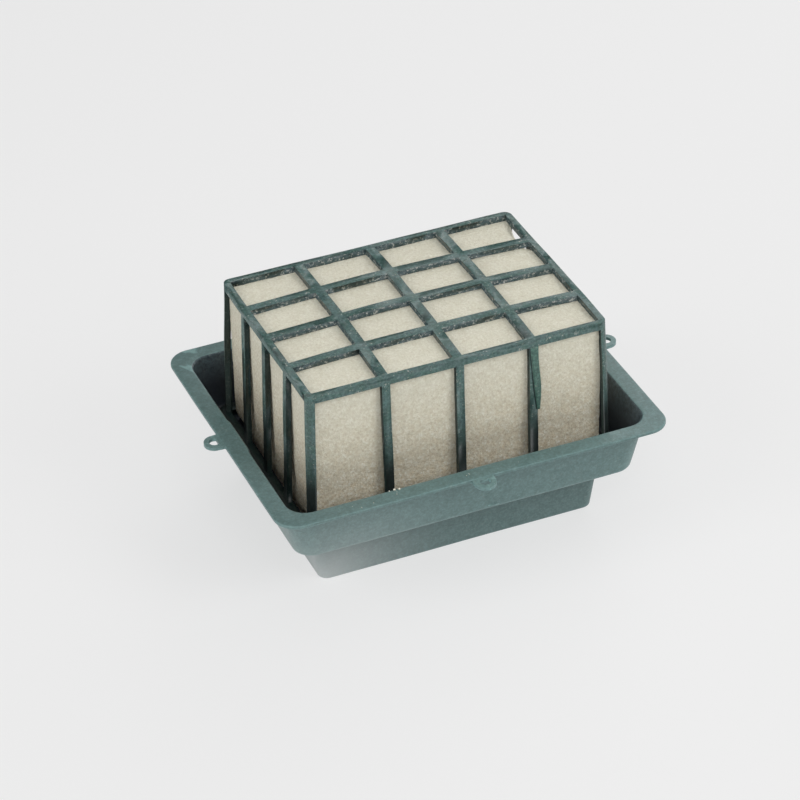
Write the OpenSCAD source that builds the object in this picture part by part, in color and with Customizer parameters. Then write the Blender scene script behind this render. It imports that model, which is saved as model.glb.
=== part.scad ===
// A caged floral foam brick in its plastic tray, in millimetres.
// The tray stands on z = 0 with its long side along X. The origin is the middle of its underside.

/* [Foam] */
// Length of the foam brick
foam_l = 110.6; // [104:0.2:110.6]
// Width of the foam brick
foam_w = 79; // [74:0.2:79]
// How far each side of the brick is squeezed in at the bottom of the well
foam_squeeze = 2.2; // [2:0.1:2.6]
// Free height between the brick and the bars over it
foam_gap = 0.3; // [0.2:0.1:1]

/* [Cage] */
// Length of the cage over its top edge
cage_l = 116; // [115:0.5:117]
// Width of the cage over its top edge
cage_w = 84.4; // [83.8:0.2:86]
// Height of the cage's top edge above the table
cage_top = 82.6; // [75:0.2:90]
// Outward lean of the cage's walls, in degrees
cage_draft = 1.8; // [1:0.1:2.5]
// Radius of the cage's upright corners
cage_corner_r = 2.8; // [2.6:0.1:5]
// Thickness of the upright bars, from outside to inside
cage_wall = 2; // [1.6:0.1:2]
// Width of the upright bars between the corners
upright_w = 3.1; // [2.4:0.1:4]
// Width of each face of a corner post
post_w = 2.9; // [2.8:0.1:5]
// Width of the top rim, seen from above
rim_w = 2.4; // [2:0.1:2.6]
// Height of the top rim
rim_h = 2.8; // [2.4:0.1:4]
// Width of the bars across the top
top_bar_w = 3.5; // [2.5:0.1:4.5]
// Thickness of the bars across the top
top_bar_t = 2.2; // [1.8:0.1:2.4]
// Rise of the top grid in its middle
crown = 1.5; // [0.5:0.1:2.5]
// Number of windows along each side of the cage
windows = 4; // [3:1:5]

/* [Cage foot] */
// How far the foot frame stands out past the cage's walls
foot_out = 2.6; // [2.2:0.1:3.2]
// Thickness of the foot frame
foot_t = 2.4; // [2:0.1:3]
// Radius of a locating peg
peg_r = 1.5; // [1.2:0.1:1.7]
// Length of a peg below the foot frame
peg_l = 5.2; // [4:0.1:5.4]
// Distance of the pegs from the tray's long centre line
peg_y = 25; // [15:1:35]

/* [Tray] */
// Length of the tray's flange, without the eyelets
flange_l = 152.4; // [151:0.2:156]
// Width of the tray's flange, without the eyelets
flange_w = 121.6; // [120:0.2:126]
// Width of the flange's flat band
flange_band = 6.8; // [6:0.1:7]
// Radius of the flange's outer corners
flange_r = 8.6; // [8:0.2:14]
// Thickness of the flange
flange_t = 1.2; // [1:0.1:1.6]
// Height of the flange's top face
flange_top = 43.6; // [40:0.2:48]
// Thickness of the tray's walls
tray_wall = 1.2; // [1:0.1:1.4]
// Length of the upper basin at its foot, outside
basin_l = 132.8; // [132:0.2:135]
// Width of the upper basin at its foot, outside
basin_w = 102; // [101:0.2:104]
// Height of the underside of the ledge
ledge_z = 20.8; // [18:0.2:24]
// Thickness of the ledge
ledge_t = 1.3; // [1:0.1:1.6]
// Length of the lower well at its rim, outside
well_l = 114.4; // [113.8:0.2:114.8]
// Width of the lower well at its rim, outside
well_w = 82.8; // [82.8:0.2:84]
// How far each end of the well leans in towards its floor
well_draft_l = 2.6; // [0.8:0.1:2.8]
// How far each long side of the well leans in towards its floor
well_draft_w = 2; // [0.8:0.1:2.2]
// Thickness of the well's floor
floor_t = 1.4; // [1:0.1:1.6]

/* [Eyelets] */
// Radius of an eyelet's hole
eyelet_hole_r = 2.1; // [1.5:0.1:2.2]
// Outer radius of an eyelet
eyelet_r = 4; // [3.6:0.1:5]
// Distance from the flange's edge to the middle of the hole
eyelet_out = 2.4; // [2.3:0.1:3.5]
// Thickness of an eyelet
eyelet_t = 1.3; // [1.2:0.1:2]

/* [Hidden] */
$fn = 32;
tray_colour = "#5f7a78";
cage_colour = "#48625f";
foam_colour = "#cbc6b4";
eps = 0.01;            // thickness of the thin plates that a drafted block is hulled from
over = 1;              // overshoot of a cutting solid past the face it cuts
gap = 0.3;             // clearance between the tray, the cage and the brick

ledge_top = ledge_z + ledge_t;
wall_top = flange_top - flange_t;
open_l = flange_l - 2 * flange_band;
open_w = flange_w - 2 * flange_band;
open_r = 7.7;
basin_r = 7.1;
well_r = 4.2;
well_foot_r = 3.6;

foot_z = ledge_top + gap;
foot_top = foot_z + foot_t;
rim_z = cage_top - rim_h;
lean = tan(cage_draft);
pitch_x = (cage_l - rim_w) / windows;
pitch_y = (cage_w - rim_w) / windows;
rim_open_l = cage_l - 2 * rim_w;
rim_open_w = cage_w - 2 * rim_w;

// The pegs' axis is in the middle of the foot frame's ends
foot_half_l = cage_l / 2 + lean * (cage_top - foot_z) + foot_out;
peg_x = foot_half_l - (cage_wall + foot_out) / 2 + 0.2;
peg_tip = 0.8;
socket_r = 2.9;
socket_play = 0.05;
socket_depth = peg_l - gap + 0.6;
socket_floor = 1;

foam_z = floor_t + gap;
foam_top = cage_top - top_bar_t - foam_gap;
foam_r = 1.6;

// Length of the cage's outside at height z, and likewise its width
function cage_l_at(z) = cage_l + 2 * lean * (cage_top - z);
function cage_w_at(z) = cage_w + 2 * lean * (cage_top - z);
// Places of the bars between the corners along one side
function bar_places(pitch) = [for (i = [1 : windows - 1]) (i - windows / 2) * pitch];

// Rectangle with round corners, centred
module round_rect(l, w, r) {
    square([l - 2 * r, w], center = true);
    square([l, w - 2 * r], center = true);
    for (x = [-1, 1], y = [-1, 1])
        translate([x * (l / 2 - r), y * (w / 2 - r)])
            circle(r);
}

// Plate with round corners, standing on height z
module plate(size, z, t) {
    translate([0, 0, z])
        linear_extrude(t)
            round_rect(size[0], size[1], size[2]);
}

// Block with drafted sides, from one rounded outline at z0 to another at z1
module drafted_block(size0, z0, size1, z1) {
    hull() {
        plate(size0, z0, eps);
        plate(size1, z1 - eps, eps);
    }
}

// Thin drafted wall: size0 and size1 are its outside at z0 and z1
module drafted_wall(size0, z0, size1, z1, t) {
    difference() {
        drafted_block(size0, z0, size1, z1);
        drafted_block(
            inset_at(size0, size1, z0, z1, z0 - over, t), z0 - over,
            inset_at(size0, size1, z0, z1, z1 + over, t), z1 + over
        );
    }
}

// Outline of a drafted block's side at height z, taken in by t
function inset_at(size0, size1, z0, z1, z, t) =
    let (s = size0 + (size1 - size0) * (z - z0) / (z1 - z0))
    [s[0] - 2 * t, s[1] - 2 * t, max(s[2] - t, 0.6)];

// ---- Tray -------------------------------------------------------------------------------

module tray_flange() {
    color(tray_colour)
        difference() {
            plate([flange_l, flange_w, flange_r], wall_top, flange_t);
            plate([open_l, open_w, open_r], wall_top - over, flange_t + 2 * over);
        }
}

module tray_upper_wall() {
    color(tray_colour)
        drafted_wall(
            [basin_l, basin_w, basin_r], ledge_top,
            [open_l + 2 * tray_wall, open_w + 2 * tray_wall, open_r + tray_wall], wall_top,
            tray_wall
        );
}

module tray_ledge() {
    color(tray_colour)
        difference() {
            plate([basin_l, basin_w, basin_r], ledge_z, ledge_t);
            plate(
                [well_l - 2 * tray_wall, well_w - 2 * tray_wall, well_r - tray_wall],
                ledge_z - over, ledge_t + 2 * over
            );
            at_pegs()
                translate([0, 0, ledge_z - over])
                    cylinder(r = peg_r + socket_play, h = ledge_t + 2 * over);
        }
}

module tray_well_wall() {
    foot = [well_l - 2 * well_draft_l, well_w - 2 * well_draft_w, well_foot_r];
    color(tray_colour)
        drafted_wall(foot, floor_t, [well_l, well_w, well_r], ledge_z, tray_wall);
}

module tray_well_floor() {
    color(tray_colour)
        plate([well_l - 2 * well_draft_l, well_w - 2 * well_draft_w, well_foot_r], 0, floor_t);
}

// One hanging eyelet on the +X side, at distance edge from the middle, cut flush with the edge
module eyelet(edge) {
    translate([edge + eyelet_out, 0, flange_top - eyelet_t])
        difference() {
            cylinder(r = eyelet_r, h = eyelet_t);
            translate([0, 0, -over])
                cylinder(r = eyelet_hole_r, h = eyelet_t + 2 * over);
            translate([-eyelet_out - 2 * eyelet_r, -eyelet_r - over, -over])
                cube([2 * eyelet_r, 2 * (eyelet_r + over), eyelet_t + 2 * over]);
        }
}

module eyelet_right() { color(tray_colour) eyelet(flange_l / 2); }
module eyelet_left() { color(tray_colour) rotate([0, 0, 180]) eyelet(flange_l / 2); }
module eyelet_back() { color(tray_colour) rotate([0, 0, 90]) eyelet(flange_w / 2); }
module eyelet_front() { color(tray_colour) rotate([0, 0, -90]) eyelet(flange_w / 2); }

// Blind sockets hanging under the ends of the ledge
module peg_sockets() {
    color(tray_colour)
        at_pegs()
            translate([0, 0, ledge_z - socket_depth - socket_floor])
                difference() {
                    cylinder(r = socket_r, h = socket_depth + socket_floor);
                    translate([0, 0, socket_floor])
                        cylinder(r = peg_r + socket_play, h = socket_depth + over);
                }
}

// ---- Cage -------------------------------------------------------------------------------

module at_pegs() {
    for (x = [-peg_x, peg_x], y = [-peg_y, peg_y])
        translate([x, y, 0])
            children();
}

// The leaning wall that all the upright bars are cut from
module cage_wall_band() {
    drafted_wall(
        [cage_l_at(foot_top), cage_w_at(foot_top), cage_corner_r], foot_top,
        [cage_l_at(rim_z), cage_w_at(rim_z), cage_corner_r], rim_z,
        cage_wall
    );
}

// Slab between the corner posts of the two walls that face X: it leans with those walls
module between_posts(size, depth) {
    low = size / 2 + lean * (cage_top - foot_top + over) - post_w;
    high = size / 2 + lean * (cage_top - rim_z - over) - post_w;
    rotate([90, 0, 0])
        linear_extrude(depth, center = true)
            polygon([
                [-low, foot_top - over], [low, foot_top - over],
                [high, rim_z + over], [-high, rim_z + over]
            ]);
}

module cage_corner_posts() {
    color(cage_colour)
        difference() {
            cage_wall_band();
            between_posts(cage_l, 2 * cage_w);
            rotate([0, 0, 90])
                between_posts(cage_w, 2 * cage_l);
        }
}

// Upright bars of one wall. Turned by the angle, the wall faces -Y and its bars are pitch apart.
module upright_bars(angle, pitch) {
    reach = cage_l;
    intersection() {
        cage_wall_band();
        rotate([0, 0, angle])
            for (x = bar_places(pitch))
                translate([x - upright_w / 2, -reach, foot_top])
                    cube([upright_w, reach, rim_z - foot_top]);
    }
}

module cage_front_bars() { color(cage_colour) upright_bars(0, pitch_x); }
module cage_right_bars() { color(cage_colour) upright_bars(90, pitch_y); }
module cage_back_bars() { color(cage_colour) upright_bars(180, pitch_x); }
module cage_left_bars() { color(cage_colour) upright_bars(270, pitch_y); }

module cage_top_rim() {
    color(cage_colour)
        difference() {
            drafted_block(
                [cage_l_at(rim_z), cage_w_at(rim_z), cage_corner_r], rim_z,
                [cage_l, cage_w, cage_corner_r], cage_top
            );
            plate([rim_open_l, rim_open_w, 1], rim_z - over, rim_h + 2 * over);
        }
}

// Height of the crown at x and y, none along the rim
function crown_at(x, y) =
    crown * (1 - pow(2 * x / rim_open_l, 2)) * (1 - pow(2 * y / rim_open_w, 2));

// Arched bar along X, centred on the Y axis and straight between its crossings;
// rise is its height in the middle
module arched_bar(length, rise) {
    top = [for (i = [0 : windows])
        let (u = 2 * i / windows - 1) [u * length / 2, cage_top + rise * (1 - u * u)]];
    under = [for (i = [windows : -1 : 0]) [top[i][0], top[i][1] - top_bar_t]];
    rotate([90, 0, 0])
        linear_extrude(top_bar_w, center = true)
            polygon(concat(top, under));
}

module cage_long_bars() {
    color(cage_colour)
        for (y = bar_places(pitch_y))
            translate([0, y, 0])
                arched_bar(rim_open_l, crown_at(0, y));
}

module cage_cross_bars() {
    color(cage_colour)
        difference() {
            for (x = bar_places(pitch_x))
                translate([x, 0, 0])
                    rotate([0, 0, 90])
                        arched_bar(rim_open_w, crown_at(x, 0));
            for (y = bar_places(pitch_y))
                translate([-cage_l / 2, y - top_bar_w / 2, rim_z])
                    cube([cage_l, top_bar_w, rim_h + 2 * crown]);
        }
}

module cage_foot_frame() {
    color(cage_colour)
        difference() {
            plate(
                [cage_l_at(foot_z) + 2 * foot_out, cage_w_at(foot_z) + 2 * foot_out,
                    cage_corner_r + foot_out],
                foot_z, foot_t
            );
            plate(
                [cage_l_at(foot_top) - 2 * cage_wall, cage_w_at(foot_top) - 2 * cage_wall,
                    cage_corner_r - cage_wall],
                foot_z - over, foot_t + 2 * over
            );
        }
}

module cage_pegs() {
    color(cage_colour)
        at_pegs()
            translate([0, 0, foot_z - peg_l]) {
                cylinder(r1 = peg_r - peg_tip / 2, r2 = peg_r, h = peg_tip);
                translate([0, 0, peg_tip])
                    cylinder(r = peg_r, h = peg_l - peg_tip);
            }
}

// ---- Foam -------------------------------------------------------------------------------

module foam_brick() {
    body = [foam_l, foam_w, foam_r];
    foot = [foam_l - 2 * foam_squeeze, foam_w - 2 * foam_squeeze, foam_r];
    color(foam_colour) {
        drafted_block(foot, foam_z, body, ledge_top);
        plate(body, ledge_top, foam_top - ledge_top);
    }
}

tray_flange();
tray_upper_wall();
tray_ledge();
tray_well_wall();
tray_well_floor();
eyelet_front();
eyelet_back();
eyelet_left();
eyelet_right();
peg_sockets();
cage_top_rim();
cage_long_bars();
cage_cross_bars();
cage_corner_posts();
cage_front_bars();
cage_back_bars();
cage_left_bars();
cage_right_bars();
cage_foot_frame();
cage_pegs();
foam_brick();
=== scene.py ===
"""Looks of a caged floral foam brick: a stepped plastic tray, a lattice cage and a block of dry foam.

Every length is in metres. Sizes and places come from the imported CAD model.
"""
import math
import random

import bmesh
import bpy
from mathutils import Matrix, Vector, noise


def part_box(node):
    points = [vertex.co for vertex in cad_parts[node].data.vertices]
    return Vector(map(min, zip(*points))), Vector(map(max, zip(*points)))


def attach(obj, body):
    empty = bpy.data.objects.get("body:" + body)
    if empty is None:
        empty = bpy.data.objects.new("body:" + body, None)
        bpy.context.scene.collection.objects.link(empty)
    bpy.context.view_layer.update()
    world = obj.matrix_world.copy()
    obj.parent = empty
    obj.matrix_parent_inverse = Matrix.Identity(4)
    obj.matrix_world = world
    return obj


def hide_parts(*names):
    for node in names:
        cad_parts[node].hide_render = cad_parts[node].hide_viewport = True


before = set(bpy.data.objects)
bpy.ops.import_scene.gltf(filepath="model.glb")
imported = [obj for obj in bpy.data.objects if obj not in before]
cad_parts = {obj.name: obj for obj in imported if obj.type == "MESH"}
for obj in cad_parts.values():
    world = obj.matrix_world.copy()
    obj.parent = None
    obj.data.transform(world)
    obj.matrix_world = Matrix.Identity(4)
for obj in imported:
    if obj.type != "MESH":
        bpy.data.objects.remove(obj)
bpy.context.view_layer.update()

MM = 0.001
noise.seed_set(5)        # without a seed the mesh noise would change from run to run

# ---- Sizes read from the frame ------------------------------------------------------------


def half_size(node):
    """Half the length and half the width of a node's box."""
    low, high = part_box(node)
    return (high.x - low.x) / 2, (high.y - low.y) / 2


def z_range(node):
    low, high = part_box(node)
    return low.z, high.z


FLANGE = half_size("tray_flange")
FLANGE_LOW, FLANGE_TOP = z_range("tray_flange")
WALL_HEAD = half_size("tray_upper_wall")
BASIN = half_size("tray_ledge")
LEDGE_LOW, LEDGE_TOP = z_range("tray_ledge")
WELL = half_size("tray_well_wall")
WELL_FOOT = half_size("tray_well_floor")
FLOOR_TOP = z_range("tray_well_floor")[1]

RIM_FOOT = half_size("cage_top_rim")
RIM_LOW, CAGE_TOP = z_range("cage_top_rim")
CROWN_TOP = z_range("cage_long_bars")[1]
POST_FOOT = half_size("cage_corner_posts")
FOOT = half_size("cage_foot_frame")
FOOT_LOW, FOOT_TOP = z_range("cage_foot_frame")
LEAN = (POST_FOOT[0] - RIM_FOOT[0]) / (RIM_LOW - FOOT_TOP)
UPRIGHT_W = 3.1 * MM
BAR_PITCH = (
    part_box("cage_front_bars")[1].x - UPRIGHT_W / 2,
    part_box("cage_right_bars")[1].y - UPRIGHT_W / 2,
)
FOAM = half_size("foam_brick")
FOAM_LOW, FOAM_TOP = z_range("foam_brick")

# ---- Sizes of the mouldings ---------------------------------------------------------------

TRAY_WALL = 1.2 * MM
EYELET_HOLE_R = 2.1 * MM
PEG_R = 1.5 * MM
PEG_BORE = 1.55 * MM
FLANGE_R = 8.6 * MM
OPEN_R = 7.7 * MM
BASIN_R = 7.1 * MM
WELL_R = 4.2 * MM
WELL_FOOT_R = 3.6 * MM

CAGE_WALL = 2.0 * MM
CAGE_R = 2.9 * MM
POST_W = 2.9 * MM
TOP_BAR_W = 3.5 * MM
TOP_BAR_T = 2.2 * MM
RIM_W = 2.4 * MM

# ---- Small helpers ------------------------------------------------------------------------


def lerp(a, b, t):
    return a + (b - a) * t


def smoothstep(low, high, value):
    t = min(1.0, max(0.0, (value - low) / (high - low)))
    return t * t * (3 - 2 * t)


def bump_at(value, centre, half_width):
    """One at the centre, falling smoothly to nothing at half_width away."""
    return 1 - smoothstep(0, half_width, abs(value - centre))


def wobble(point, feature, amount, seed=0.0):
    """Smooth random offset for a point: feature is its size and amount its greatest strength."""
    where = Vector(point) / feature + Vector((seed, -seed, 2 * seed))
    return noise.noise_vector(where) * amount


def side_axes(side):
    """Outward and forward directions of a side: 0 is the front, then counter-clockwise."""
    turn = math.pi / 2 * side
    out = Vector((round(math.sin(turn)), -round(math.cos(turn)), 0))
    along = Vector((round(math.cos(turn)), round(math.sin(turn)), 0))
    return out, along


def lathe(bm, profile, centre, steps=32):
    """Turns a profile of (radius, height) round an upright axis; a radius of 0 closes it."""
    rings = []
    for radius, z in profile:
        if radius == 0:
            rings.append([bm.verts.new((centre.x, centre.y, z))])
            continue
        rings.append([
            bm.verts.new((
                centre.x + radius * math.cos(2 * math.pi * i / steps),
                centre.y + radius * math.sin(2 * math.pi * i / steps),
                z,
            ))
            for i in range(steps)
        ])
    for lower, upper in zip(rings, rings[1:]):
        for i in range(steps):
            j = (i + 1) % steps
            corners = [
                lower[i % len(lower)], lower[j % len(lower)],
                upper[j % len(upper)], upper[i % len(upper)],
            ]
            bm.faces.new(list(dict.fromkeys(corners)))


def peg_places():
    low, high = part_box("cage_pegs")
    for x in (low.x + PEG_R, high.x - PEG_R):
        for y in (low.y + PEG_R, high.y - PEG_R):
            yield Vector((x, y, 0))


def make_object(name, bm, materials, body, slot, *replaced):
    """Object from a bmesh, with smooth shading, riding on a body in place of CAD nodes."""
    bmesh.ops.recalc_face_normals(bm, faces=bm.faces)
    mesh = bpy.data.meshes.new(name)
    bm.to_mesh(mesh)
    bm.free()
    mesh.shade_smooth()
    piece = bpy.data.objects.new(name, mesh)
    bpy.context.scene.collection.objects.link(piece)
    for material in materials:
        mesh.materials.append(material)
    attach(piece, body)
    if replaced:
        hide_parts(*replaced)
    return piece


def round_edges(piece, width, segments=3, angle=32):
    """Rounds every edge that is sharper than the angle."""
    bevel = piece.modifiers.new("rounded_edges", "BEVEL")
    bevel.width = width
    bevel.segments = segments
    bevel.limit_method = "ANGLE"
    bevel.angle_limit = math.radians(angle)
    bevel.harden_normals = True


# ---- Materials ----------------------------------------------------------------------------


class Nodes:
    """Short way to wire a material's nodes."""

    def __init__(self, name):
        self.material = bpy.data.materials.new(name)
        self.material.use_nodes = True
        self.tree = self.material.node_tree
        self.shader = self.tree.nodes["Principled BSDF"]
        self.place = self.add("ShaderNodeTexCoord").outputs["Object"]

    def add(self, kind, **settings):
        node = self.tree.nodes.new(kind)
        for key, value in settings.items():
            setattr(node, key, value)
        return node

    def link(self, source, target):
        self.tree.links.new(source, target)

    def value(self, target, source):
        """Sets a socket from a number, a colour or another socket."""
        if isinstance(source, bpy.types.NodeSocket):
            self.link(source, target)
        else:
            target.default_value = source

    def noise(self, size, detail=4.0, roughness=0.5):
        """Noise whose features are about size across."""
        texture = self.add("ShaderNodeTexNoise")
        self.link(self.place, texture.inputs["Vector"])
        texture.inputs["Scale"].default_value = 1 / size
        texture.inputs["Detail"].default_value = detail
        texture.inputs["Roughness"].default_value = roughness
        return texture.outputs["Fac"]

    def cells(self, size):
        """Distance to the nearest of points that are about size apart."""
        texture = self.add("ShaderNodeTexVoronoi")
        self.link(self.place, texture.inputs["Vector"])
        texture.inputs["Scale"].default_value = 1 / size
        return texture.outputs["Distance"]

    def ramp(self, source, low, high, start=0.0, end=1.0):
        """Maps low to high onto start to end, clamped."""
        node = self.add("ShaderNodeMapRange")
        self.link(source, node.inputs["Value"])
        node.inputs["From Min"].default_value = low
        node.inputs["From Max"].default_value = high
        node.inputs["To Min"].default_value = start
        node.inputs["To Max"].default_value = end
        return node.outputs["Result"]

    def math(self, operation, a, b):
        node = self.add("ShaderNodeMath", operation=operation)
        self.value(node.inputs[0], a)
        self.value(node.inputs[1], b)
        return node.outputs["Value"]

    def mix(self, factor, a, b):
        node = self.add("ShaderNodeMix", data_type="RGBA")
        self.value(node.inputs["Factor"], factor)
        self.value(node.inputs["A"], a)
        self.value(node.inputs["B"], b)
        return node.outputs["Result"]

    def height(self):
        node = self.add("ShaderNodeSeparateXYZ")
        self.link(self.place, node.inputs["Vector"])
        return node.outputs["Z"]

    def bump(self, height, distance, strength, before=None):
        node = self.add("ShaderNodeBump")
        self.link(height, node.inputs["Height"])
        node.inputs["Distance"].default_value = distance
        node.inputs["Strength"].default_value = strength
        if before:
            self.link(before, node.inputs["Normal"])
        return node.outputs["Normal"]


def matt_plastic(name, dark, light, dust_amount, contrast, edge_highlight, roughness, texture):
    """Outside of a moulding: matt and finely grained, paler along its edges as a painted highlight, with
    foam dust on it.
    """
    m = Nodes(name)
    # Pale colour for the grain's light specks and for the painted edge highlight.
    pale_and_painted_light = tuple(1.9 * c for c in light[:3]) + (1,)
    deep = tuple(0.45 * c for c in dark[:3]) + (1,)
    base = m.mix(m.ramp(m.noise(3 * MM, 4.0, 0.65), 0.40, 0.60), dark, light)
    # Painted highlight: convex edges turn paler, standing in for the light that rounded edges catch.
    painted_edge_highlight = m.ramp(m.add("ShaderNodeNewGeometry").outputs["Pointiness"], 0.505, 0.56, 0.0, edge_highlight)
    base = m.mix(painted_edge_highlight, base, pale_and_painted_light)
    grain = m.noise(1.0 * MM, 4.0, 0.7)
    base = m.mix(m.ramp(grain, 0.50, 0.66, 0.0, contrast), base, pale_and_painted_light)
    base = m.mix(m.ramp(grain, 0.34, 0.50, contrast, 0.0), base, deep)
    specks = m.ramp(m.noise(1.1 * MM, 2.0, 0.7), 0.61, 0.68)
    patches = m.ramp(m.noise(7 * MM, 2.0), 0.42, 0.60)
    dust = m.math("MULTIPLY", m.math("MULTIPLY", specks, patches), dust_amount)
    base = m.mix(dust, base, (0.50, 0.52, 0.46, 1))
    m.link(base, m.shader.inputs["Base Color"])
    rough = m.ramp(m.noise(4 * MM, 4.0), 0.3, 0.7, roughness - 0.06, roughness + 0.06)
    m.link(m.math("ADD", rough, m.math("MULTIPLY", dust, 0.4)), m.shader.inputs["Roughness"])
    m.shader.inputs["IOR"].default_value = 1.5
    fine = m.bump(grain, texture, 0.5)
    waves = m.bump(m.noise(6 * MM, 3.0), 0.06 * MM, 0.25, fine)
    m.link(waves, m.shader.inputs["Normal"])
    return m


def paint_shade_by_height(m, low, high, factor):
    """Mixes painted shade over a material: a dark colour, all of factor below low, none above high."""
    base = m.shader.inputs["Base Color"].links[0].from_socket
    tone_mask = m.ramp(m.height(), low, high, factor, 0.0)
    m.link(m.mix(tone_mask, base, (0.016, 0.020, 0.019, 1)), m.shader.inputs["Base Color"])


def paint_light_round_corner(m):
    """Painted light that fades out round the tray's front left foot."""
    away = m.add("ShaderNodeVectorMath", operation="DISTANCE")
    m.link(m.place, away.inputs[0])
    away.inputs[1].default_value = (-WELL_FOOT[0], -WELL_FOOT[1], 0)
    near = m.math("POWER", m.ramp(away.outputs["Value"], 0, 75 * MM, 1.0, 0.0), 3.0)
    base = m.shader.inputs["Base Color"].links[0].from_socket
    pale_and_painted_light = m.mix(m.math("MULTIPLY", near, 0.66), base, (0.66, 0.68, 0.68, 1))
    m.link(pale_and_painted_light, m.shader.inputs["Base Color"])


def smooth_plastic(name, dark, light, pale_from, pale_all, pale_colour, specks_amount):
    """Inside of a moulding: smooth, and dark as painted shade, with a paler mottled tone that grows
    between two heights and dust specks up there.
    """
    m = Nodes(name)
    base = m.mix(m.ramp(m.noise(5 * MM, 3.0), 0.35, 0.65), dark, light)
    high_up = m.ramp(m.height(), pale_from, pale_all, 0.08, 1.0)
    tone_mask = m.ramp(m.noise(1.5 * MM, 5.0, 0.75), 0.38, 0.60, 0.35, 1.0)
    specks = m.ramp(m.noise(1.0 * MM, 3.0, 0.7), 0.54, 0.66, 0.0, specks_amount)
    base = m.mix(m.math("MULTIPLY", tone_mask, high_up), base, pale_colour)
    dust = m.math("MULTIPLY", specks, high_up)
    base = m.mix(dust, base, (0.50, 0.51, 0.47, 1))
    m.link(base, m.shader.inputs["Base Color"])
    m.link(m.math("ADD", 0.34, m.math("MULTIPLY", dust, 0.5)), m.shader.inputs["Roughness"])
    m.shader.inputs["IOR"].default_value = 1.5
    m.shader.inputs["Specular IOR Level"].default_value = 0.4
    m.link(m.bump(m.noise(3 * MM, 3.0), 0.1 * MM, 0.3), m.shader.inputs["Normal"])
    return m


def tray_outside():
    m = matt_plastic(
        "tray_matt", (0.106, 0.184, 0.180, 1), (0.128, 0.214, 0.210, 1),
        dust_amount=0.15, contrast=0.25, edge_highlight=0.85, roughness=0.44, texture=0.06 * MM,
    )
    # Painted shade on the well wall below the ledge, which shades it.
    paint_shade_by_height(m, 19 * MM, 22 * MM, 0.2)
    # Painted light round the front left foot.
    paint_light_round_corner(m)
    return m.material


def tray_inside():
    # Painted shade: the dark colour stands in for the shade in the tray's hollow. Its paler top, from 12
    # mm below the flange up, is painted light on the upper inner wall.
    return smooth_plastic(
        "tray_smooth", (0.024, 0.029, 0.037, 1), (0.031, 0.037, 0.047, 1),
        pale_from=FLANGE_TOP - 12 * MM, pale_all=FLANGE_TOP + 1 * MM,
        pale_colour=(0.12, 0.17, 0.19, 1), specks_amount=0.12,
    ).material


def cage_outside():
    m = matt_plastic(
        "cage_matt", (0.050, 0.110, 0.088, 1), (0.074, 0.130, 0.126, 1),
        dust_amount=0.8, contrast=0.6, edge_highlight=0.15, roughness=0.42, texture=0.12 * MM,
    )
    # Painted shade: the bars darken low down, where the tray shades them.
    paint_shade_by_height(m, 40 * MM, 64 * MM, 0.7)
    paint_shade_by_height(m, 43 * MM, 50 * MM, 0.7)
    return m.material


def cage_inside():
    # Painted shade: the dark colour stands in for the shade on the cage's inner and side faces; it turns
    # paler near the rim, with foam dust specks.
    return smooth_plastic(
        "cage_smooth", (0.010, 0.024, 0.022, 1), (0.016, 0.034, 0.031, 1),
        pale_from=RIM_LOW - 3 * MM, pale_all=RIM_LOW + 1 * MM,
        pale_colour=(0.085, 0.13, 0.135, 1), specks_amount=0.95,
    ).material


def split_skin():
    """The greener, fresher plastic of the split on the third front bar."""
    return matt_plastic(
        "cage_split", (0.046, 0.112, 0.090, 1), (0.070, 0.150, 0.122, 1),
        dust_amount=0.4, contrast=0.6, edge_highlight=0.3, roughness=0.38, texture=0.06 * MM,
    ).material


def dry_foam():
    """Dry floral foam: chalky open cells, sawn faces, browner and coarser lower down, the browner tint
    partly painted shade.
    """
    m = Nodes("dry_foam")
    height = m.height()
    # Browner lower down: partly the foam's own tint, partly painted shade where the tray and cage shade
    # the lower foam.
    low_down = m.ramp(height, 34 * MM, 74 * MM, 0.9, 0.0)
    mottle = m.ramp(m.noise(4 * MM, 5.0, 0.6), 0.35, 0.65)
    base = m.mix(mottle, (0.75, 0.720, 0.585, 1), (0.80, 0.775, 0.645, 1))
    brown = m.ramp(m.noise(2.4 * MM, 4.0, 0.65), 0.38, 0.62, 0.45, 1.0)
    base = m.mix(m.math("MULTIPLY", low_down, brown), base, (0.82, 0.715, 0.52, 1))
    grain = m.noise(0.95 * MM, 4.0, 0.75)
    coarseness = m.ramp(height, 30 * MM, 78 * MM, 1.0, 0.38)
    dark_grain = m.math("MULTIPLY", m.ramp(grain, 0.26, 0.50, 1.0, 0.0), coarseness)
    base = m.mix(dark_grain, base, (0.47, 0.375, 0.25, 1))
    light_grain = m.math("MULTIPLY", m.ramp(grain, 0.53, 0.64, 0.0, 1.0), coarseness)
    base = m.mix(light_grain, base, (1.0, 0.98, 0.87, 1))
    pits = m.ramp(m.cells(17 * MM), 0.022, 0.04, 0.7, 0.0)
    base = m.mix(pits, base, (0.30, 0.26, 0.17, 1))
    m.link(base, m.shader.inputs["Base Color"])
    m.shader.inputs["Roughness"].default_value = 0.93
    m.shader.inputs["Specular IOR Level"].default_value = 0.2
    cells = m.bump(m.cells(0.75 * MM), 0.3 * MM, 0.5)
    coarse = m.bump(grain, 0.35 * MM, 0.7, cells)
    m.link(coarse, m.shader.inputs["Normal"])
    return m.material


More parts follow.
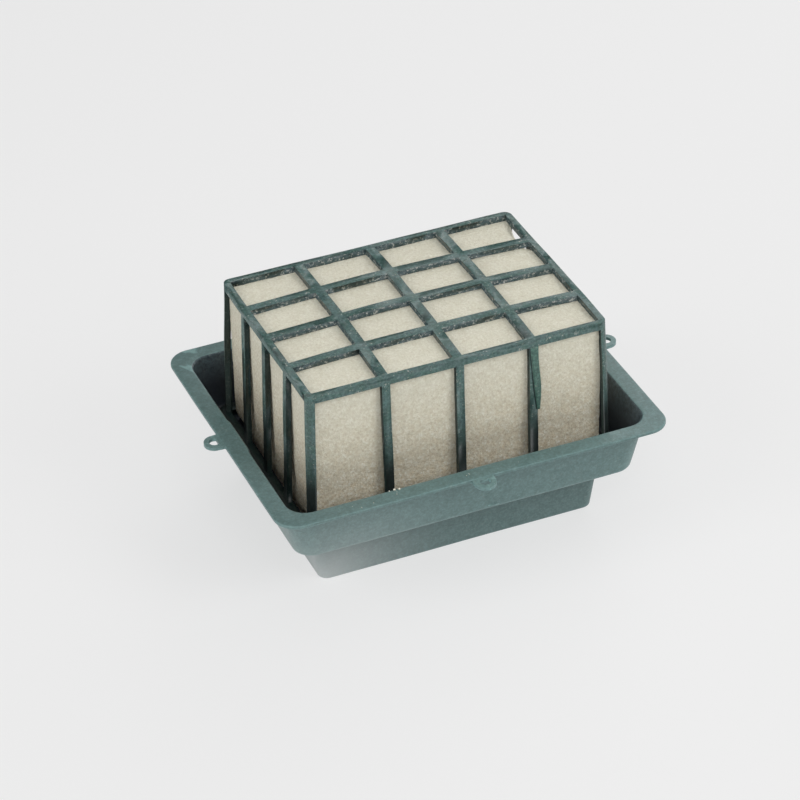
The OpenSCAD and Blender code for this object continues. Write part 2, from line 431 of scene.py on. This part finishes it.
def loose_foam():
    """Crumbs of foam: paler than the block, with the same open grain."""
    m = Nodes("crumbs")
    grain = m.noise(0.4 * MM, 3.0, 0.7)
    base = m.mix(m.ramp(grain, 0.35, 0.65), (0.70, 0.67, 0.56, 1), (0.86, 0.85, 0.77, 1))
    m.link(base, m.shader.inputs["Base Color"])
    m.shader.inputs["Roughness"].default_value = 0.9
    m.shader.inputs["Specular IOR Level"].default_value = 0.2
    m.link(m.bump(grain, 0.1 * MM, 0.6), m.shader.inputs["Normal"])
    return m.material


def floor_paint():
    m = Nodes("studio_floor")
    m.shader.inputs["Base Color"].default_value = (0.25, 0.25, 0.25, 1)
    m.shader.inputs["Roughness"].default_value = 0.75
    m.shader.inputs["Specular IOR Level"].default_value = 0.2
    m.shader.inputs["Emission Color"].default_value = (1, 1, 1, 1)
    m.shader.inputs["Emission Strength"].default_value = 0.62
    return m.material


# ---- Tray ---------------------------------------------------------------------------------

ARC_STEPS = 10
SIDE_STEPS = (64, 50)
MIDDLE = (8 * MM, 8 * MM, 7.9 * MM)     # half length, half width and corner radius of the last ring
PAD_W = 0.5 * MM
PAD_HALF_L = 10.2 * MM


def outline(half, radius):
    """Points round a rectangle with round corners, the same number for every size."""
    points = []
    for side in range(4):
        out, along = side_axes(side)
        reach, run = (half[1], half[0]) if side % 2 == 0 else (half[0], half[1])
        steps = SIDE_STEPS[side % 2]
        for i in range(steps):
            points.append(out * reach + along * lerp(radius - run, run - radius, i / steps))
        centre = out * (reach - radius) + along * (run - radius)
        for i in range(ARC_STEPS):
            turn = math.pi / 2 * i / ARC_STEPS
            points.append(centre + (out * math.cos(turn) + along * math.sin(turn)) * radius)
    return points


def grown(half, amount):
    return half[0] + amount, half[1] + amount


def rounded_profile(corners, steps=6):
    """Profile through corners (half length, half width, corner radius, height, rounding)."""
    profile = []
    for i, corner in enumerate(corners):
        here = Vector(corner[:4])
        rounding = corner[4]
        if rounding == 0 or i in (0, len(corners) - 1):
            profile.append(here)
            continue
        before = Vector(corners[i - 1][:4]) - here
        after = Vector(corners[i + 1][:4]) - here
        start = here + before * (rounding / before.length)
        end = here + after * (rounding / after.length)
        for step in range(steps + 1):
            t = step / steps
            profile.append(lerp(lerp(start, here, t), lerp(here, end, t), t))
    return profile


def tray_profile():
    """From the middle of the underside, out and up to the flange, and down inside to the floor."""
    opening = grown(WALL_HEAD, -TRAY_WALL)
    inner_basin = grown(BASIN, -TRAY_WALL)
    inner_well = grown(WELL, -TRAY_WALL)
    inner_foot = grown(WELL_FOOT, -TRAY_WALL)
    return rounded_profile([
        (*MIDDLE, 0, 0),
        (*WELL_FOOT, WELL_FOOT_R, 0, 0.9 * MM),
        (*WELL, WELL_R, LEDGE_LOW, 0.9 * MM),
        (*BASIN, BASIN_R, LEDGE_LOW, 1.9 * MM),
        (*WALL_HEAD, OPEN_R + TRAY_WALL, FLANGE_LOW, 0.8 * MM),
        (*FLANGE, FLANGE_R, FLANGE_LOW, 0.3 * MM),
        (*FLANGE, FLANGE_R, FLANGE_TOP, 0.5 * MM),
        (*opening, OPEN_R, FLANGE_TOP, 1.1 * MM),
        (*inner_basin, BASIN_R - TRAY_WALL, LEDGE_TOP, 1.6 * MM),
        (*inner_well, WELL_R - TRAY_WALL, LEDGE_TOP, 0.7 * MM),
        (*inner_foot, WELL_FOOT_R - TRAY_WALL, FLOOR_TOP, 1.4 * MM),
        (*MIDDLE, FLOOR_TOP, 0),
    ])


def long_stretches_cut(profile, longest):
    """Adds points where two neighbours are further apart than longest."""
    cut = [profile[0]]
    for before, after in zip(profile, profile[1:]):
        pieces = max(1, math.ceil((after - before).length / longest))
        cut += [lerp(before, after, (i + 1) / pieces) for i in range(pieces)]
    return cut


def flange_pad(point):
    """The flange's band is a little wider beside each end eyelet."""
    near_edge = bump_at(abs(point.x), WALL_HEAD[0] - TRAY_WALL, 3 * MM)
    near_top = smoothstep(FLANGE_LOW - 6 * MM, FLANGE_LOW, point.z)
    beside = smoothstep(PAD_HALF_L + 0.6 * MM, PAD_HALF_L - 0.6 * MM, abs(point.y))
    return -math.copysign(PAD_W, point.x) * near_edge * near_top * beside


def make_tray(materials):
    bm = bmesh.new()
    rings = []
    profile = long_stretches_cut(tray_profile(), 4 * MM)
    first_inside = max(i for i, point in enumerate(profile) if point[3] > FLANGE_TOP - 0.25 * MM)
    for half_l, half_w, radius, z in profile:
        ring = []
        for point in outline((half_l, half_w), radius):
            place = Vector((point.x, point.y, z))
            place.x += flange_pad(place)
            shift = wobble(place, 45 * MM, 0.22 * MM)
            shift.z *= smoothstep(0, 20 * MM, z)
            ring.append(bm.verts.new(place + shift))
        rings.append(ring)
    for at, (lower, upper) in enumerate(zip(rings, rings[1:])):
        for i, vert in enumerate(lower):
            j = (i + 1) % len(lower)
            face = bm.faces.new((vert, lower[j], upper[j], upper[i]))
            face.material_index = int(at >= first_inside)
    bm.faces.new(reversed(rings[0]))
    bm.faces.new(rings[-1]).material_index = 1
    make_object(
        "tray_shell", with_peg_holes(bm), materials, "tray", "tray_plastic",
        "tray_flange", "tray_upper_wall", "tray_ledge", "tray_well_wall", "tray_well_floor",
    )


def with_peg_holes(bm):
    """The tray's mesh with a round hole through the ledge for each of the cage's pegs."""
    cutter_bm = bmesh.new()
    for place in peg_places():
        low, high = LEDGE_LOW - 1 * MM, LEDGE_TOP + 1 * MM
        lathe(cutter_bm, [(0, low), (PEG_BORE, low), (PEG_BORE, high), (0, high)], place)
    pieces = []
    for name, shape in (("blank", bm), ("cutter", cutter_bm)):
        bmesh.ops.recalc_face_normals(shape, faces=shape.faces)
        mesh = bpy.data.meshes.new(name)
        shape.to_mesh(mesh)
        shape.free()
        pieces.append(bpy.data.objects.new(name, mesh))
        bpy.context.scene.collection.objects.link(pieces[-1])
    blank, cutter = pieces
    cut = blank.modifiers.new("peg_holes", "BOOLEAN")
    cut.operation = "DIFFERENCE"
    cut.solver = "EXACT"
    cut.object = cutter
    result = bmesh.new()
    result.from_mesh(blank.evaluated_get(bpy.context.evaluated_depsgraph_get()).to_mesh())
    for piece in pieces:
        mesh = piece.data
        bpy.data.objects.remove(piece)
        bpy.data.meshes.remove(mesh)
    return result


def eyelet_outline(radius, centre, root, flare, steps=36):
    """Half-round tab on the +X side, flaring into the edge that it hangs from."""
    points = [(root, -radius - flare), (root + 0.6 * flare, -radius - 0.12 * flare)]
    for i in range(steps + 1):
        turn = lerp(-math.pi / 2, math.pi / 2, i / steps)
        points.append((centre + radius * math.cos(turn), radius * math.sin(turn)))
    points += [(root + 0.6 * flare, radius + 0.12 * flare), (root, radius + flare)]
    return points


def make_eyelet(node, turn, material):
    """Flat ring eyelet with rounded edges, in place of its plain node."""
    low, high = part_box(node)
    size = high - low
    axis = 0 if turn % 180 == 0 else 1
    radius = max(size.x, size.y) / 2
    centre = max(abs(low[axis]), abs(high[axis])) - radius
    bm = bmesh.new()
    outer = eyelet_outline(radius, centre, FLANGE[axis] - 0.9 * MM, 1.6 * MM)
    steps = len(outer)
    inner = []
    for x, y in outer:
        turned = math.atan2(y, x - centre)
        inner.append((
            centre + EYELET_HOLE_R * math.cos(turned),
            EYELET_HOLE_R * math.sin(turned),
        ))
    top = FLANGE_TOP - 0.05 * MM
    layers = []
    for z in (top - size.z, top):
        layers.append((
            [bm.verts.new((x, y, z)) for x, y in outer],
            [bm.verts.new((x, y, z)) for x, y in inner],
        ))
    (outer_low, inner_low), (outer_high, inner_high) = layers
    for i in range(steps):
        j = (i + 1) % steps
        bm.faces.new((outer_high[i], outer_high[j], inner_high[j], inner_high[i]))
        bm.faces.new((outer_low[j], outer_low[i], inner_low[i], inner_low[j]))
        bm.faces.new((outer_low[i], outer_low[j], outer_high[j], outer_high[i]))
        bm.faces.new((inner_low[j], inner_low[i], inner_high[i], inner_high[j]))
    matrix = Matrix.Rotation(math.radians(turn), 3, "Z")
    bmesh.ops.rotate(bm, verts=bm.verts, cent=(0, 0, 0), matrix=matrix)
    piece = make_object(node + "_ring", bm, [material], "tray", "tray_plastic", node)
    round_edges(piece, 0.35 * MM, 3, 50)


def make_sockets(material):
    """Blind bosses under the ledge, with a round hole in each."""
    low, high = z_range("peg_sockets")
    bm = bmesh.new()
    for place in peg_places():
        lathe(bm, [
            (0, low), (2.4 * MM, low), (2.8 * MM, low + 0.15 * MM), (2.9 * MM, low + 0.5 * MM),
            (2.95 * MM, high - 1 * MM), (3.3 * MM, high - 0.3 * MM), (3.8 * MM, high),
            (PEG_BORE, high), (PEG_BORE, low + 1.2 * MM),
            (PEG_BORE - 0.3 * MM, low + 1 * MM), (0, low + 1 * MM),
        ], place)
    make_object("socket_bosses", bm, [material], "tray", "tray_plastic", "peg_sockets")


# ---- Cage ---------------------------------------------------------------------------------

WINDOW_STEPS = 4
WALL_STEPS = 9
CORNER_STEPS = 6
FOOT_EDGE, OUTSIDE, INSIDE = range(3)


class Cells:
    """Six-sided cells that share corners, kept as the faces that only one cell has."""

    def __init__(self, place):
        self.place = place
        self.faces = {}

    def add(self, low, high):
        """low and high are four corner keys each, counter-clockwise from above."""
        a, b, c, d = low
        e, f, g, h = high
        sides = ((a, b, f, e), (b, c, g, f), (c, d, h, g), (d, a, e, h))
        for quad in ((d, c, b, a), (e, f, g, h), *sides):
            key = frozenset(quad)
            if key in self.faces:
                self.faces[key] = None
            else:
                self.faces[key] = quad

    def bmesh(self):
        bm = bmesh.new()
        verts = {}
        for quad in self.faces.values():
            if quad is None:
                continue
            for key in quad:
                if key not in verts:
                    verts[key] = bm.verts.new(self.place(key))
            face = bm.faces.new([verts[key] for key in quad])
            # Faces that are neither on the outside nor on top take the dark smooth material: painted
            # shade.
            matt = all(map(is_outside, quad)) or all(map(is_on_top, quad))
            face.material_index = 0 if matt else 1
        return bm


def breaks(half, pitch, bar):
    """Places along a side where bars begin and end, with even steps across each window."""
    painted_edge_highlight = [POST_W - half]
    for centre in (-pitch, 0, pitch):
        painted_edge_highlight += [centre - bar / 2, centre + bar / 2]
    painted_edge_highlight.append(half - POST_W)
    places = []
    for i, (start, end) in enumerate(zip(painted_edge_highlight, painted_edge_highlight[1:])):
        steps = WINDOW_STEPS if i % 2 == 0 else 1
        places += [lerp(start, end, step / steps) for step in range(steps)]
    return places + [painted_edge_highlight[-1]]


IN_BAR = []
for stretch in range(7):
    IN_BAR += [False] * WINDOW_STEPS if stretch % 2 == 0 else [True]
BREAKS = len(IN_BAR) + 1
PER_SIDE = BREAKS + CORNER_STEPS + 1
STATIONS = 4 * PER_SIDE

LEVELS = [FOOT_LOW, FOOT_TOP]
LEVELS += [lerp(FOOT_TOP, RIM_LOW, (i + 1) / WALL_STEPS) for i in range(WALL_STEPS)]
LEVELS += [CAGE_TOP - TOP_BAR_T, CAGE_TOP]
RIM_LEVEL = len(LEVELS) - 3


def cage_half(z):
    """Half length and half width of the leaning cage at a height."""
    out = LEAN * (RIM_LOW - z)
    return RIM_FOOT[0] + out, RIM_FOOT[1] + out


def is_outside(key):
    """On the wall's outer face; the foot frame, at the first level, is left out, so it takes the dark
    smooth material all round as painted shadow.
    """
    return key[0] == "wall" and key[2] > 0 and key[3] != INSIDE


def is_on_top(key):
    return key[3] if key[0] == "grid" else key[2] == len(LEVELS) - 1


def wall_place(station, level, layer):
    """A point of the cage's wall; the wall is thicker at the rim, and the foot stands out from it."""
    z = LEVELS[level]
    half = cage_half(z)
    inset = 0.0
    if layer == INSIDE:
        inset = RIM_W if level >= RIM_LEVEL else CAGE_WALL
    elif layer == FOOT_EDGE:
        inset = half[0] - FOOT[0]
    side, index = divmod(station, PER_SIDE)
    out, along = side_axes(side)
    reach, run = (half[1], half[0]) if side % 2 == 0 else half
    if index < BREAKS:
        bar = TOP_BAR_W if level > RIM_LEVEL else UPRIGHT_W
        pitch = BAR_PITCH[side % 2]
        spot = out * (reach - inset) + along * breaks(run, pitch, bar)[index]
    else:
        turn = math.pi / 2 * (index - BREAKS) / CORNER_STEPS
        centre = out * (reach - CAGE_R) + along * (run - CAGE_R)
        spot = centre + (out * math.cos(turn) + along * math.sin(turn)) * (CAGE_R - inset)
    return Vector((spot.x, spot.y, z))


def grid_place(ix, iy, top):
    """A point of the domed grid between the rim's inner faces."""
    half = cage_half(CAGE_TOP)
    x = breaks(half[0], BAR_PITCH[0], TOP_BAR_W)[ix]
    y = breaks(half[1], BAR_PITCH[1], TOP_BAR_W)[iy]
    along_x = 1 - (x / (half[0] - RIM_W)) ** 2
    along_y = 1 - (y / (half[1] - RIM_W)) ** 2
    rise = (CROWN_TOP - CAGE_TOP) * along_x * along_y
    return Vector((x, y, CAGE_TOP + rise - (0 if top else TOP_BAR_T)))


def grid_key(ix, iy, top):
    """Key of a grid corner: at the ends of the bars it is the rim's own corner."""
    level = len(LEVELS) - (1 if top else 2)
    last = BREAKS - 1
    if iy < 0:
        return "wall", ix, level, INSIDE
    if ix > last:
        return "wall", PER_SIDE + iy, level, INSIDE
    if iy > last:
        return "wall", 2 * PER_SIDE + last - ix, level, INSIDE
    if ix < 0:
        return "wall", 3 * PER_SIDE + last - iy, level, INSIDE
    return "grid", ix, iy, top


def cage_place(key):
    kind, *where = key
    place = wall_place(*where) if kind == "wall" else grid_place(*where)
    bow = wobble(place, 24 * MM, 0.28 * MM, 3.7)
    bow.z *= smoothstep(FOOT_TOP, FOOT_TOP + 10 * MM, place.z)
    return place + bow


def make_cage(materials):
    cells = Cells(cage_place)

    def wall_cell(station, level, outer, inner):
        after = (station + 1) % STATIONS
        low, high = (
            [("wall", station, at, outer), ("wall", after, at, outer),
             ("wall", after, at, inner), ("wall", station, at, inner)]
            for at in (level, level + 1)
        )
        cells.add(low, high)

    for station in range(STATIONS):
        index = station % PER_SIDE
        is_post = index >= BREAKS - 1
        wall_cell(station, 0, FOOT_EDGE, OUTSIDE)
        for level in range(len(LEVELS) - 1):
            in_frame = level == 0 or level >= RIM_LEVEL
            if in_frame or is_post or IN_BAR[index]:
                wall_cell(station, level, OUTSIDE, INSIDE)

    def grid_cell(ix, iy):
        low, high = (
            [grid_key(ix, iy, top), grid_key(ix + 1, iy, top),
             grid_key(ix + 1, iy + 1, top), grid_key(ix, iy + 1, top)]
            for top in (False, True)
        )
        cells.add(low, high)

    for bar in range(BREAKS - 1):
        if not IN_BAR[bar]:
            continue
        for run in range(-1, BREAKS):
            grid_cell(run, bar)
            crosses = 0 <= run < BREAKS - 1 and IN_BAR[run]
            if not crosses:
                grid_cell(bar, run)

    cage = make_object(
        "cage_lattice", cells.bmesh(), materials, "cage", "cage_plastic",
        "cage_top_rim", "cage_long_bars", "cage_cross_bars", "cage_corner_posts",
        "cage_front_bars", "cage_back_bars", "cage_left_bars", "cage_right_bars", "cage_foot_frame",
    )
    round_edges(cage, 0.32 * MM)


def make_pegs(material):
    """Round locating pins with a chamfered tip."""
    low, high = z_range("cage_pegs")
    bm = bmesh.new()
    for place in peg_places():
        lathe(bm, [
            (0, low), (0.8 * MM, low), (1.1 * MM, low + 0.1 * MM), (PEG_R, low + 0.8 * MM),
            (PEG_R, high - 0.05 * MM), (0, high),
        ], place)
    make_object("locating_pins", bm, [material], "cage", "cage_plastic", "cage_pegs")


FLAW_STEPS = 28
FLAW_RIDGE_STEPS = 7
FLAW_LOW = 53.5 * MM
CREASE_W = 0.35 * MM


def flaw_ring(bm, t):
    """Section of the flaw, from its head at 0 to its foot at 1: a crease on the left and a ridge."""
    z = lerp(RIM_LOW, FLAW_LOW, t)
    face = cage_half(z)[1]
    left = BAR_PITCH[0] - UPRIGHT_W / 2 + 2.4 * MM * t ** 1.2
    right = BAR_PITCH[0] + UPRIGHT_W / 2 + 0.45 * MM + 0.9 * MM * bump_at(t, 0.68, 0.55)
    points = [(left, -0.5 * MM), (left, 0.06 * MM), (left + CREASE_W, 0.06 * MM)]
    proud = lerp(0.35 * MM, 0.75 * MM, bump_at(t, 0.6, 0.6))
    for i in range(FLAW_RIDGE_STEPS):
        u = (i + 0.5) / FLAW_RIDGE_STEPS
        out = 0.15 * MM + proud * math.sin(math.pi * u) ** 0.5
        points.append((lerp(left + CREASE_W, right, u), out))
    points += [(right, 0.1 * MM), (right - 0.2 * MM, -0.5 * MM)]
    return [bm.verts.new((x, -face - out, z)) for x, out in points]


def make_flaw(materials):
    """Split and bowed skin on the third front bar, a flaw of the moulding."""
    bm = bmesh.new()
    rings = [flaw_ring(bm, i / FLAW_STEPS) for i in range(FLAW_STEPS + 1)]
    for upper, lower in zip(rings, rings[1:]):
        for i, vert in enumerate(upper):
            j = (i + 1) % len(upper)
            face = bm.faces.new((vert, upper[j], lower[j], lower[i]))
            # The two faces at the crease take the dark smooth material: painted shadow in the crease.
            face.material_index = int(i < 2)
    bm.faces.new(rings[0])
    bm.faces.new(reversed(rings[-1]))
    make_object("split_bar_skin", bm, materials, "cage", "cage_plastic")


# ---- Foam ---------------------------------------------------------------------------------

FOAM_STEP = 1.0 * MM
FOAM_BULGE = 0.9 * MM
FOAM_SQUEEZE = 2.2 * MM
FOAM_CROWN = 1.45 * MM
FOAM_LIFT = 0.2 * MM
FOAM_GAP = 0.02 * MM
CHIP_W = 2.3 * MM
CHIP_DEPTH = 3.9 * MM
CHIP_FROM = 16 * MM
CHIP_TO = 38.5 * MM


def foam_chip(place):
    """How much of the back right top edge has crumbled away at this point along it."""
    if place.x <= 0:
        return 0.0
    begins = smoothstep(CHIP_FROM, CHIP_FROM + 5 * MM, place.y)
    ends = smoothstep(CHIP_TO, CHIP_TO - 7.5 * MM, place.y)
    return begins * ends


def foam_side(axis, z):
    """How far out a side of the foam comes at a height: pressed to the cage, and into the well below."""
    in_cage = cage_half(z)[axis] - CAGE_WALL - FOAM_GAP
    in_rim = cage_half(z)[axis] - RIM_W - FOAM_GAP
    out = lerp(in_cage, in_rim, smoothstep(RIM_LOW - 0.3 * MM, RIM_LOW, z))
    out = min(out, FOAM[axis] + FOAM_BULGE)
    return lerp(FOAM[axis] - FOAM_SQUEEZE, out, smoothstep(LEDGE_LOW - 2 * MM, FOOT_TOP + 1 * MM, z))


def foam_place(place):
    """Turns a point of a plain block into one of the crumbly brick, which fills the cage."""
    x, y = place.x / FOAM[0], place.y / FOAM[1]
    top = smoothstep(FOAM_TOP - 8 * MM, FOAM_TOP, place.z)
    z = place.z + top * (FOAM_LIFT + FOAM_CROWN * (1 - x * x) * (1 - y * y))
    place = Vector((x * foam_side(0, place.z), y * foam_side(1, place.z), z))
    chip = foam_chip(place)
    if chip > 0:
        side = foam_side(0, FOAM_TOP)
        width = (side - FOAM[0] + CHIP_W) * chip
        depth = CHIP_DEPTH * chip
        over_x = (place.x - (side - width)) / width
        over_z = (place.z - (FOAM_TOP + FOAM_LIFT - depth)) / depth
        past = over_x + over_z - 1
        if past > 0 and over_x > 0 and over_z > 0:
            place.x -= past * width / 2
            place.z -= past * depth / 2
    return place + wobble(place, 2.6 * MM, 0.14 * MM) + wobble(place, 9 * MM, 0.12 * MM, 5.1)


def make_foam(material):
    low = Vector((-FOAM[0], -FOAM[1], FOAM_LOW))
    high = Vector((FOAM[0], FOAM[1], FOAM_TOP))
    counts = [round(length / FOAM_STEP) for length in high - low]
    bm = bmesh.new()
    verts = {}

    def vert(index):
        if index not in verts:
            place = Vector(lerp(low[k], high[k], index[k] / counts[k]) for k in range(3))
            verts[index] = bm.verts.new(foam_place(place))
        return verts[index]

    for k in range(3):
        u, v = (k + 1) % 3, (k + 2) % 3
        for end in (0, counts[k]):
            for i in range(counts[u]):
                for j in range(counts[v]):
                    corners = []
                    for di, dj in ((0, 0), (1, 0), (1, 1), (0, 1)):
                        index = [0, 0, 0]
                        index[k], index[u], index[v] = end, i + di, j + dj
                        corners.append(vert(tuple(index)))
                    bm.faces.new(corners if end else reversed(corners))
    foam = make_object("foam_block", bm, [material], "foam", "dry_foam", "foam_brick")
    round_edges(foam, 0.3 * MM, 2, 50)


SMALL_CRUMBS = 10


def lump(bm, place, size, seed):
    """Small uneven lump: size is its length, width and height."""
    made = bmesh.ops.create_icosphere(bm, subdivisions=3, radius=0.5)["verts"]
    for vert in made:
        bumpy = vert.co + noise.noise_vector(vert.co * 2.2 + Vector((seed, 0, 0))) * 0.22
        vert.co = Vector(place) + Vector((bumpy.x * size[0], bumpy.y * size[1], bumpy.z * size[2]))


def make_crumbs(material):
    """Crumbs on the flange: three at the foot of the first front bar, and a few small ones."""
    bm = bmesh.new()
    chance = random.Random(11)
    inner = WALL_HEAD[1] - TRAY_WALL
    spots = [(-31.4, 0.7, 0.9), (-29.6, 1.0, 0.7), (-33.3, 0.6, 0.5)]
    for _ in range(SMALL_CRUMBS):
        spots.append((chance.uniform(-50, 50), chance.uniform(0.9, 5.5), chance.uniform(0.22, 0.38)))
    for seed, spot in enumerate(spots):
        x, out, size = (length * MM for length in spot)
        lump(bm, (x, -inner - out, FLANGE_TOP + 0.25 * size), (size, size, 0.8 * size), seed)
    make_object("foam_crumbs", bm, [material], "tray", "dry_foam")


def make_nib(material):
    """Low moulded nib on the lower edge of the front wall."""
    bm = bmesh.new()
    lump(bm, (9 * MM, -BASIN[1] - 0.1 * MM, LEDGE_LOW + 2.2 * MM), (4.6 * MM, 1.5 * MM, 1.4 * MM), 40)
    make_object("wall_nib", bm, [material], "tray", "tray_plastic")


# ---- Stage, light and camera ----------------------------------------------------------------


def make_floor():
    mesh = bpy.data.meshes.new("floor")
    bm = bmesh.new()
    bmesh.ops.create_grid(bm, x_segments=1, y_segments=1, size=6)
    bm.to_mesh(mesh)
    bm.free()
    floor = bpy.data.objects.new("floor", mesh)
    floor.location.z = -0.1 * MM
    bpy.context.scene.collection.objects.link(floor)
    mesh.materials.append(floor_paint())


def softbox(name, place, size, watts):
    """Square light aimed at the middle of the object."""
    data = bpy.data.lights.new(name, "AREA")
    data.size = size
    data.energy = watts
    light = bpy.data.objects.new(name, data)
    light.location = place
    aim = Vector((0, 0, 0.05)) - light.location
    light.rotation_euler = aim.to_track_quat("-Z", "Y").to_euler()
    light.visible_camera = False
    bpy.context.scene.collection.objects.link(light)


def make_light():
    """Softboxes all round and above, as in a light tent."""
    world = bpy.data.worlds.new("studio")
    world.use_nodes = True
    world.node_tree.nodes["Background"].inputs["Strength"].default_value = 0.08
    bpy.context.scene.world = world
    softbox("overhead", (0.1, 0.15, 1.3), 1.6, 5.4)
    softbox("front_high", (-0.3, -1.0, 1.1), 0.8, 4.7)
    softbox("front_right", (0.8, -0.9, 0.9), 0.8, 8.0)
    softbox("front_left", (-1.2, -0.7, 0.4), 0.85, 2.2)
    softbox("left", (-1.2, 0.0, 0.9), 0.8, 5.7)
    softbox("back_right", (0.9, 1.1, 0.8), 0.95, 6.0)
    softbox("right", (1.3, 0.35, 0.3), 0.9, 3.2)


def make_camera():
    """Long lens from the front left, looking down at 34 degrees."""
    data = bpy.data.cameras.new("camera")
    data.lens = 138.67
    data.sensor_width = 36
    data.clip_end = 20
    camera = bpy.data.objects.new("camera", data)
    camera.location = (-0.3636, -0.8660, 0.6846)
    aim = Vector((0.01679, 0.05469, 0)) - camera.location
    level = aim.to_track_quat("-Z", "Y").to_matrix()
    roll = Matrix.Rotation(math.radians(-1.435), 3, "Z")
    camera.rotation_euler = (level @ roll).to_euler()
    bpy.context.scene.collection.objects.link(camera)
    bpy.context.scene.camera = camera


def make_tray_pieces():
    matt = tray_outside()
    make_tray([matt, tray_inside()])
    for i, side in enumerate(("right", "back", "left", "front")):
        make_eyelet("eyelet_" + side, 90 * i, matt)
    make_sockets(matt)
    make_nib(matt)


def make_cage_pieces():
    smooth = cage_inside()
    make_cage([cage_outside(), smooth])
    make_pegs(smooth)
    make_flaw([split_skin(), smooth])


def main():
    make_tray_pieces()
    make_cage_pieces()
    make_foam(dry_foam())
    make_crumbs(loose_foam())
    make_floor()
    make_light()
    make_camera()
    bpy.context.scene.view_settings.view_transform = "Standard"


main()
